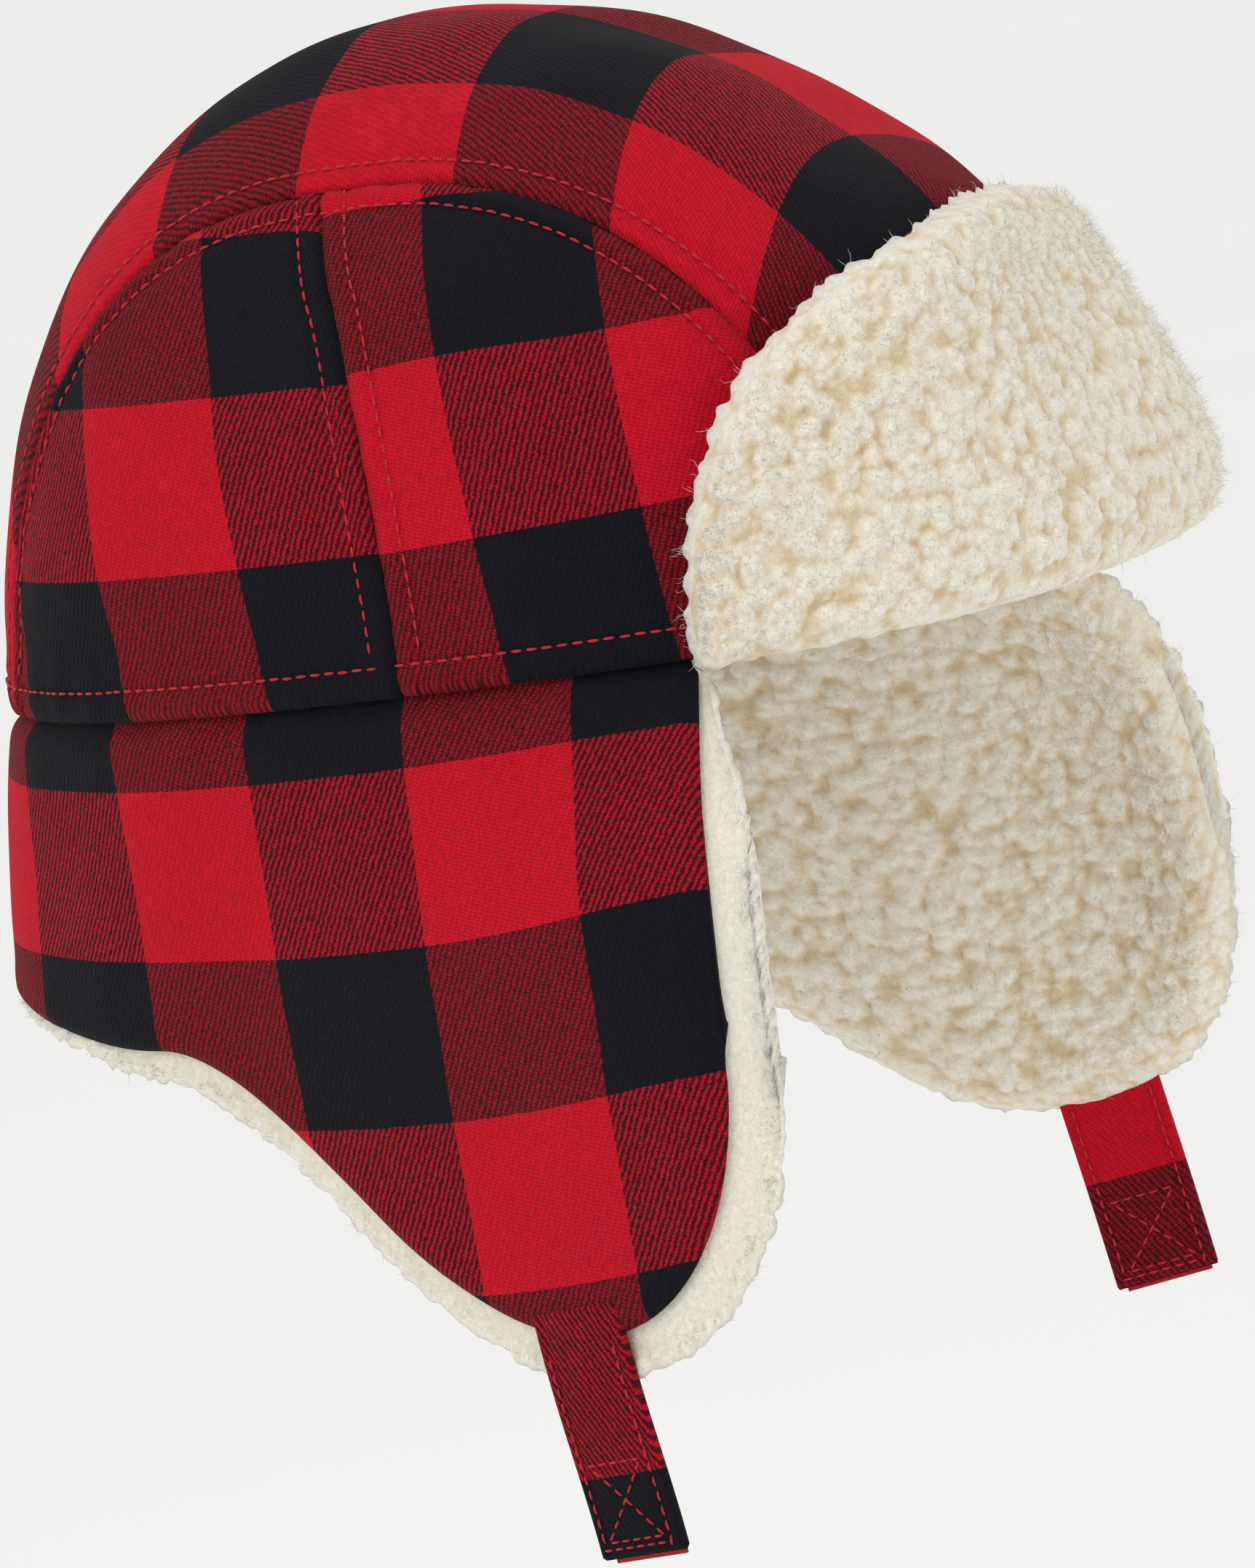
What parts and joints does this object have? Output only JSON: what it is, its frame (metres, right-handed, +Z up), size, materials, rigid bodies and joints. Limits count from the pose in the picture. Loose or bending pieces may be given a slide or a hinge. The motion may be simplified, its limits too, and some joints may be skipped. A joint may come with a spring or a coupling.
{
  "type": "trapper hat",
  "caption": "Buffalo-check flannel trapper hat with sherpa lining, a turned-up front flap and earflaps with chin straps.",
  "frame": {"origin": "centre of the head opening, on the plane of the crown's base seam", "axes": "+Z up, -Y the front of the hat, +X the wearer's left"},
  "size_m": [0.2085, 0.2287, 0.2529],
  "materials": {
    "flannel": "brushed twill, red and navy-black buffalo check in 30 mm squares",
    "sherpa": "curly off-white pile",
    "hook_and_loop": "red hook and loop tape",
    "label": "plain white satin ribbon"
  },
  "bodies": {
    "crown": {"crown_centre_panel": "flannel", "crown_front_panel_right": "flannel", "crown_back_panel_right": "flannel", "crown_front_panel_left": "flannel", "crown_back_panel_left": "flannel", "crown_lining_centre": "sherpa", "crown_lining_right": "sherpa", "crown_lining_left": "sherpa", "neck_band_right": "flannel", "neck_band_left": "flannel", "neck_lining_right": "sherpa", "neck_lining_left": "sherpa", "care_label": "label"},
    "front_flap": {"front_flap_facing": "sherpa", "front_flap_backing": "flannel"},
    "earflap_right": {"earflap_shell_right": "flannel", "earflap_lining_right": "sherpa", "strap_root_right": "flannel"},
    "earflap_left": {"earflap_shell_left": "flannel", "earflap_lining_left": "sherpa", "strap_root_left": "flannel"},
    "strap_right": {"chin_strap_right": "flannel", "hook_patch_right": "hook_and_loop"},
    "strap_left": {"chin_strap_left": "flannel", "loop_patch_left": "hook_and_loop"}
  },
  "joints": [
    {"name": "front_flap_fold", "type": "hinge", "parent": "crown", "child": "front_flap", "pos_m": [0, -0.102, 0.0004], "axis": [1, 0, 0], "range_deg": [0, 120]},
    {"name": "earflap_fold_right", "type": "hinge", "parent": "crown", "child": "earflap_right", "pos_m": [-0.1007, -0.06037, -0.02517], "axis": [0.1237, 0.9538, -0.2738], "range_deg": [-12, 150]},
    {"name": "earflap_fold_left", "type": "hinge", "parent": "crown", "child": "earflap_left", "pos_m": [0.1007, -0.06037, -0.02517], "axis": [0.1237, -0.9538, 0.2738], "range_deg": [-12, 150]},
    {"name": "strap_bend_right", "type": "hinge", "parent": "earflap_right", "child": "strap_right", "pos_m": [-0.09922, -0.0303, -0.12007], "axis": [-0.2706, -0.9526, 0.1392], "range_deg": [-60, 90]},
    {"name": "strap_bend_left", "type": "hinge", "parent": "earflap_left", "child": "strap_left", "pos_m": [0.09922, -0.0303, -0.12007], "axis": [-0.2706, 0.9526, -0.1392], "range_deg": [-60, 90]}
  ]
}
